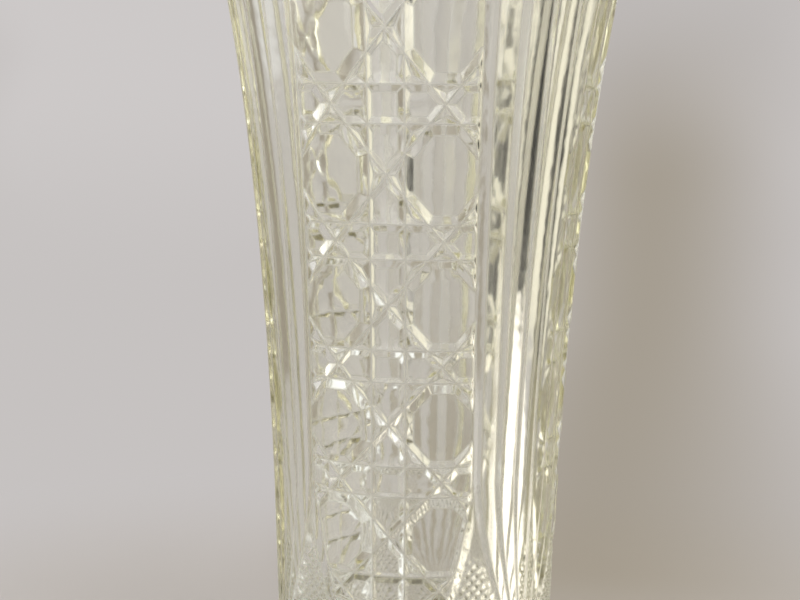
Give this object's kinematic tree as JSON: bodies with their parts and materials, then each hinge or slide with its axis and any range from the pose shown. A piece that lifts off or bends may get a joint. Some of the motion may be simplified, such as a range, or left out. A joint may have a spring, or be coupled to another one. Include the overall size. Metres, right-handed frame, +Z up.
{
  "type": "pressed glass vase",
  "caption": "Flared pressed glass vase with cane panels, upright mitre flutes, a scalloped toothed rim and a round foot.",
  "frame": {"origin": "centre of the resting ring under the foot", "axes": "+Z up along the vase's axis, -Y out through the middle of one cane panel"},
  "size_m": [0.1036, 0.1066, 0.23],
  "materials": {
    "glass": "polished"
  },
  "bodies": {
    "root": {"vase_glass": "glass"}
  },
  "joints": []
}
